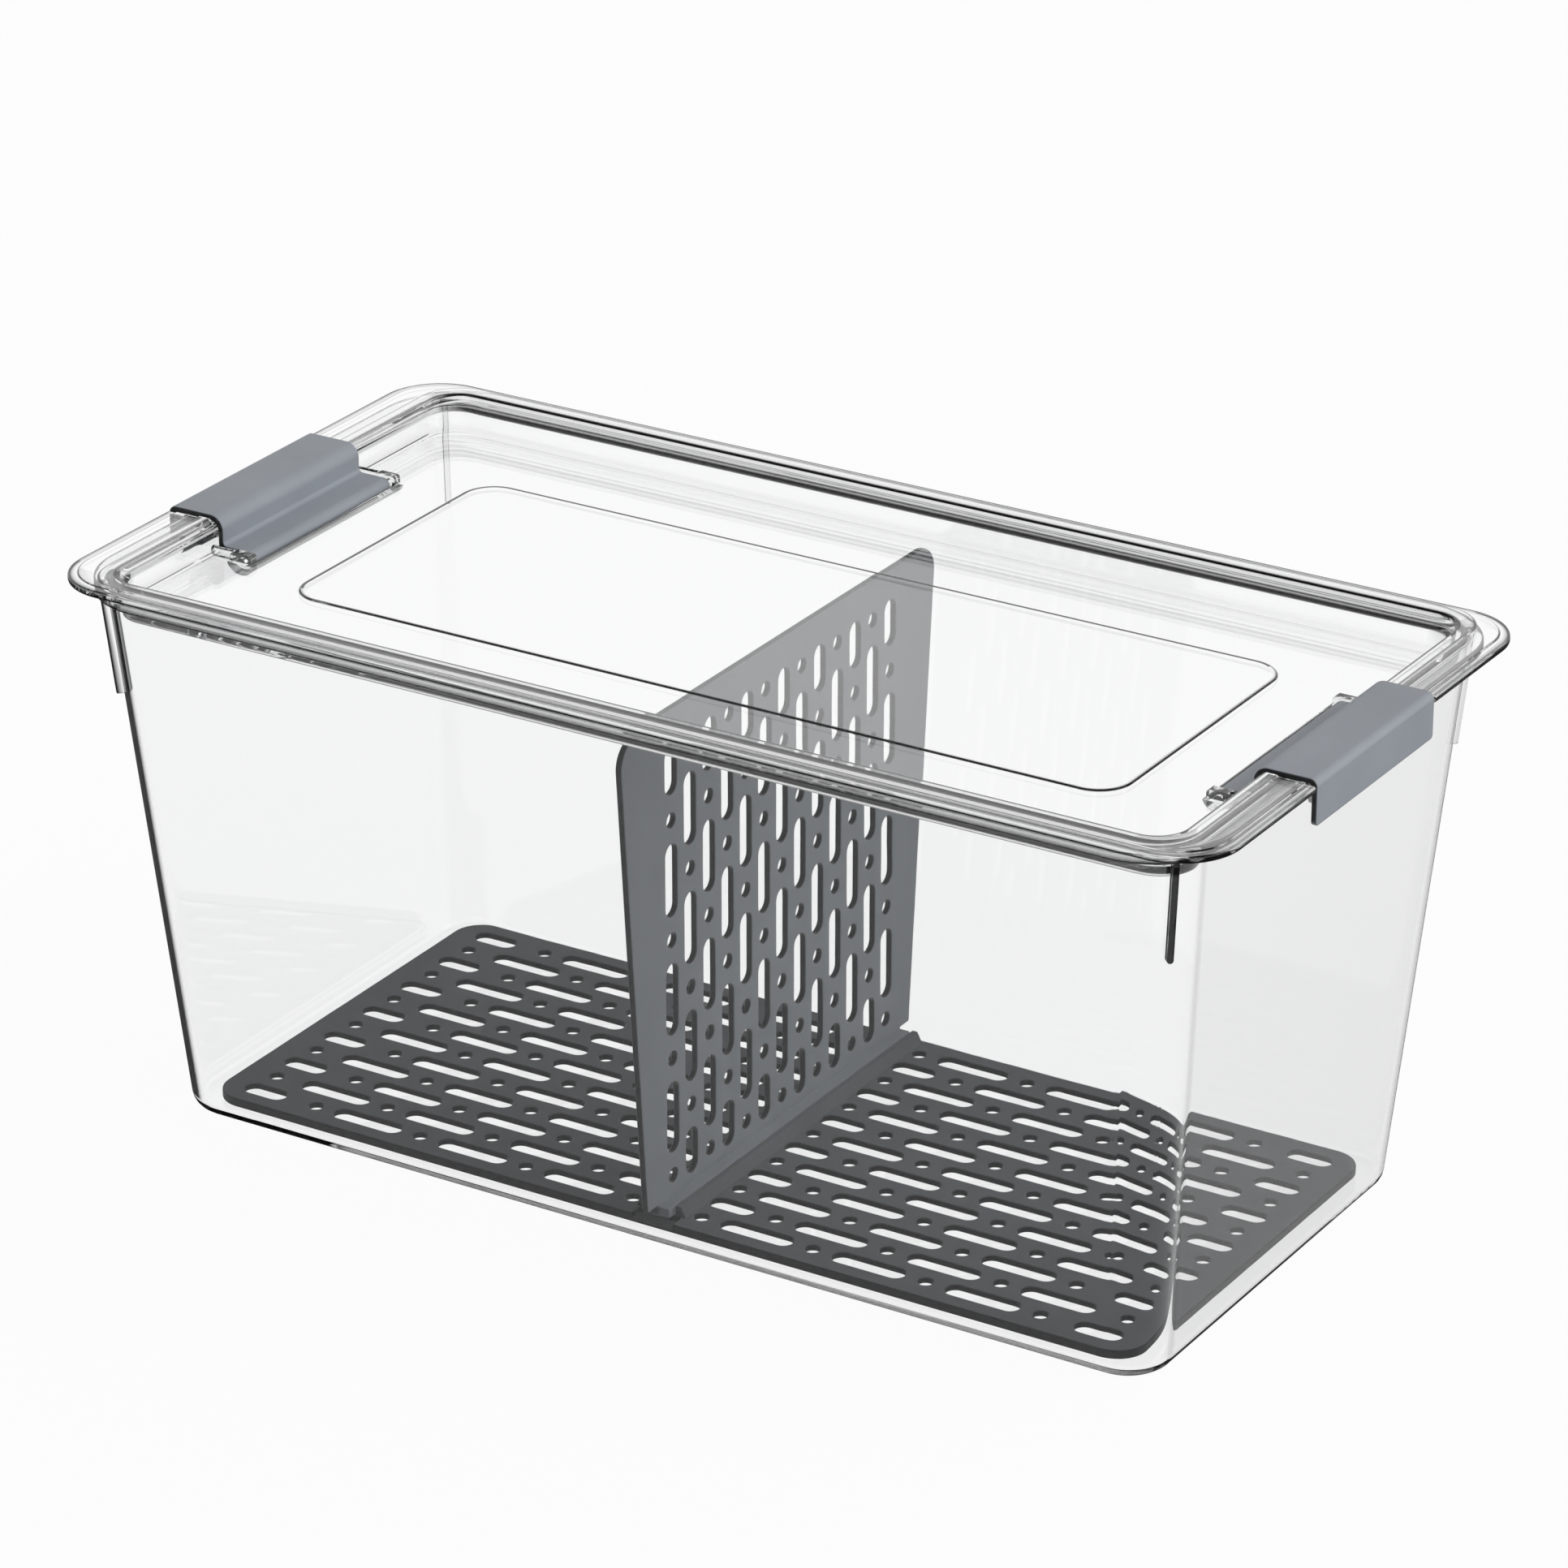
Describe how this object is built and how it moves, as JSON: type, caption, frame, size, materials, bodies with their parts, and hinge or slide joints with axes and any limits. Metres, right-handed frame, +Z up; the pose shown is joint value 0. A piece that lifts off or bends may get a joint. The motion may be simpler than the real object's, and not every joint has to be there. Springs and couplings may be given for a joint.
{
  "type": "food storage box",
  "caption": "Clear rectangular food storage box with a sunken lid held by hinged end clips, a slotted drain tray and an upright slotted divider.",
  "frame": {"origin": "centre of the underside, on the table", "axes": "+X along the length towards the right clip, +Y to the back, +Z up"},
  "size_m": [0.325, 0.166, 0.149],
  "materials": {
    "clear_bin": "clear polished moulding",
    "clear_lid": "clear polished moulding",
    "clip_grey": "satin moulded plastic",
    "tray_grey": "fine matt moulded plastic",
    "divider_grey": "fine matt moulded plastic"
  },
  "bodies": {
    "bin": {"bin": "clear_bin"},
    "lid": {"lid": "clear_lid"},
    "left_clip": {"left_clip": "clip_grey"},
    "right_clip": {"right_clip": "clip_grey"},
    "drain_tray": {"drain_tray": "tray_grey"},
    "divider": {"divider": "divider_grey"}
  },
  "joints": [
    {"name": "lid_lift", "type": "slide", "parent": "bin", "child": "lid", "axis": [0, 0, 1], "range_m": [0, 0.45]},
    {"name": "right_clip_hinge", "type": "hinge", "parent": "lid", "child": "right_clip", "pos_m": [0.1386, 0, 0.1391], "axis": [0, -1, 0], "range_deg": [0, 110]},
    {"name": "left_clip_hinge", "type": "hinge", "parent": "lid", "child": "left_clip", "pos_m": [-0.1386, 0, 0.1391], "axis": [0, 1, 0], "range_deg": [0, 110]},
    {"name": "tray_lift", "type": "slide", "parent": "bin", "child": "drain_tray", "axis": [0, 0, 1], "range_m": [0, 0.15]},
    {"name": "divider_lift", "type": "slide", "parent": "drain_tray", "child": "divider", "axis": [0, 0, 1], "range_m": [0, 0.15]}
  ],
  "couplings": [
    {"joint": "tray_lift", "follows": "lid_lift", "ratio": 0.3333},
    {"joint": "divider_lift", "follows": "lid_lift", "ratio": 0.3333}
  ]
}
